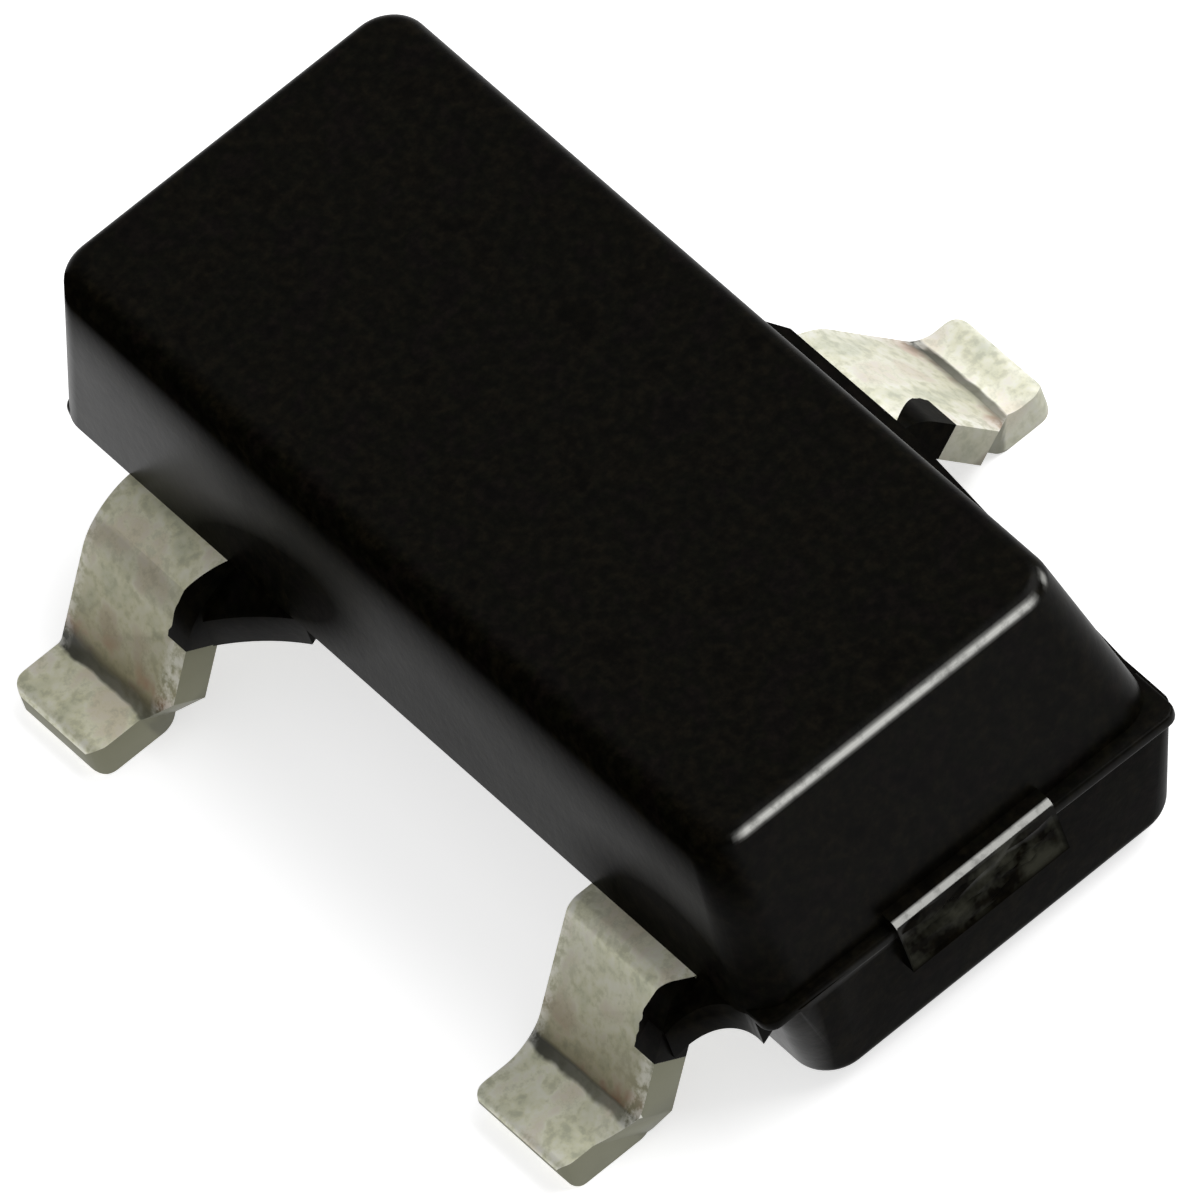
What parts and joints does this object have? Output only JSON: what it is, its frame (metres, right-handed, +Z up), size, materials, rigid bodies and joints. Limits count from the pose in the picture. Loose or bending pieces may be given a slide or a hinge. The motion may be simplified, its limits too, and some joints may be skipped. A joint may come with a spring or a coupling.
{
  "type": "digital transistor",
  "caption": "Small surface-mount transistor: black moulded body on gull-wing leads, with the chip, its bias resistors and bond wires inside.",
  "frame": {"origin": "on the seating plane that the soles of the feet touch, under the middle of the parting line's outline", "axes": "+Z up from the board, +X along the body toward the end with the broken gate, -Y toward the side with the base and emitter leads"},
  "size_m": [0.003, 0.0024, 0.001],
  "materials": {
    "mould_compound": "fine matte from the mould",
    "tinned_lead": "matte tin plating with worn spots at the bends",
    "silicon": "polished, with dark oxide",
    "silver_epoxy": "grainy silver-filled resin",
    "gold_wire": "bright drawn gold"
  },
  "bodies": {
    "root": {"molded_body": "mould_compound", "base_lead": "tinned_lead", "emitter_lead": "tinned_lead", "collector_lead": "tinned_lead", "silicon_die": "silicon", "die_attach": "silver_epoxy", "base_wire": "gold_wire", "emitter_wire": "gold_wire"}
  },
  "joints": []
}
